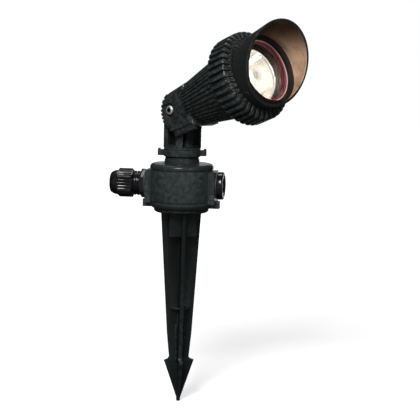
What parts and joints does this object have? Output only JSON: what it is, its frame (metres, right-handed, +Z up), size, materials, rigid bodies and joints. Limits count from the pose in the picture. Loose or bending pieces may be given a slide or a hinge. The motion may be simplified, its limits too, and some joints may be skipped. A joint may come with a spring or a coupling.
{
  "type": "garden spike spotlight",
  "caption": "Garden spotlight on a barbed ground spike: ribbed tilting lamp head with an oblique hood, swivel stem, round junction box, cable gland and blanking plug.",
  "frame": {"origin": "on the spike axis at the underside of the base cap, which is the soil line when the spike is pushed home", "axes": "+Z up along the spike; +X along the cable hubs towards the blanking plug, -X towards the cable gland; the lamp head points between +X and -Y and upwards at rest"},
  "size_m": [0.1888, 0.1231, 0.3672],
  "materials": {
    "black_matte": "moulded black thermoplastic, satin with a faint grey bloom",
    "black_housing": "moulded black thermoplastic, ribbed, satin",
    "black_cap": "moulded black thermoplastic, satin outside",
    "black_gloss": "glossy black polyamide",
    "red_silicone": "red silicone rubber",
    "black_rubber": "black rubber",
    "clear_glass": "clear toughened glass",
    "lamp_glass": "clear lamp glass",
    "reflector": "faceted reflector coating on glass",
    "ceramic": "white ceramic, unglazed",
    "nickel": "nickel-plated steel, polished",
    "zinc_steel": "zinc-plated steel",
    "brass": "plain brass",
    "white_plastic": "white polyamide",
    "silicone_sleeve": "heat-proof woven and silicone sleeve",
    "white_rubber": "grey-white silicone"
  },
  "bodies": {
    "base": {"junction_box": "black_matte", "base_cap": "black_matte", "box_seal": "black_rubber", "cap_screws": "zinc_steel", "ground_spike": "black_matte", "terminal_block": "white_plastic", "terminal_tubes": "brass", "terminal_screws": "zinc_steel", "box_leads": "silicone_sleeve", "gland_body": "black_gloss", "gland_washer": "black_rubber"},
    "stem": {"stem": "black_matte", "swivel_seal": "black_rubber", "spigot_nut": "black_gloss", "stem_lead": "silicone_sleeve"},
    "lock_ring": {"lock_ring": "black_matte"},
    "near_screw": {"pivot_screw_near": "nickel"},
    "far_screw": {"pivot_screw_far": "nickel"},
    "head": {"lamp_housing": "black_housing", "lamp_collar": "black_gloss", "lamp_holder": "ceramic", "holder_bracket": "zinc_steel", "holder_screws": "zinc_steel", "lead_grommet": "white_rubber", "head_lead": "silicone_sleeve"},
    "lamp": {"lamp_reflector": "reflector", "lamp_lens": "lamp_glass", "lamp_base": "ceramic", "lamp_capsule": "lamp_glass", "lamp_pins": "zinc_steel"},
    "glass_pack": {"front_gasket": "red_silicone", "front_glass": "clear_glass"},
    "front_cap": {"front_cap": "black_cap"},
    "gland_seal": {"gland_seal": "black_rubber"},
    "gland_nut": {"gland_nut": "black_gloss"},
    "plug_washer": {"plug_washer": "black_rubber"},
    "blanking_plug": {"blanking_plug": "black_gloss"}
  },
  "joints": [
    {"name": "stem_swivel", "type": "hinge", "parent": "base", "child": "stem", "pos_m": [0, 0, 0.048], "axis": [0, 0, 1], "range_deg": [-150, 150]},
    {"name": "head_tilt", "type": "hinge", "parent": "stem", "child": "head", "pos_m": [0, 0, 0.093], "axis": [-0.5736, -0.8192, 0], "range_deg": [-30, 70]},
    {"name": "lock_ring_turn", "type": "hinge", "parent": "stem", "child": "lock_ring", "pos_m": [0, 0, 0.0524], "axis": [0, 0, 1], "range_deg": [-90, 90]},
    {"name": "near_screw_turn", "type": "hinge", "parent": "stem", "child": "near_screw", "pos_m": [0, 0, 0.093], "axis": [-0.5736, -0.8192, 0], "range_deg": [0, 180]},
    {"name": "far_screw_turn", "type": "hinge", "parent": "stem", "child": "far_screw", "pos_m": [0, 0, 0.093], "axis": [0.5736, 0.8192, 0], "range_deg": [0, 180]},
    {"name": "lamp_twist", "type": "hinge", "parent": "head", "child": "lamp", "pos_m": [0.04582, -0.03209, 0.1147], "axis": [0.7637, -0.5348, 0.3616], "range_deg": [0, 22]},
    {"name": "cap_travel", "type": "slide", "parent": "head", "child": "glass_pack", "axis": [0.7637, -0.5348, 0.3616], "range_m": [0, 0.006]},
    {"name": "front_cap_turn", "type": "hinge", "parent": "glass_pack", "child": "front_cap", "pos_m": [0.06873, -0.04813, 0.12555], "axis": [0.7637, -0.5348, 0.3616], "range_deg": [0, 720]},
    {"name": "gland_travel", "type": "slide", "parent": "base", "child": "gland_seal", "axis": [-1, 0, 0], "range_m": [0, 0.003]},
    {"name": "gland_nut_turn", "type": "hinge", "parent": "gland_seal", "child": "gland_nut", "pos_m": [-0.05, 0, 0.0222], "axis": [-1, 0, 0], "range_deg": [0, 720]},
    {"name": "plug_travel", "type": "slide", "parent": "base", "child": "plug_washer", "axis": [1, 0, 0], "range_m": [0, 0.006]},
    {"name": "plug_turn", "type": "hinge", "parent": "plug_washer", "child": "blanking_plug", "pos_m": [0.035, 0, 0.0222], "axis": [1, 0, 0], "range_deg": [0, 1440]}
  ],
  "couplings": [
    {"joint": "cap_travel", "follows": "front_cap_turn", "m_per_rad": 0.00047746},
    {"joint": "gland_travel", "follows": "gland_nut_turn", "m_per_rad": 0.00023873},
    {"joint": "plug_travel", "follows": "plug_turn", "m_per_rad": 0.00023873}
  ]
}
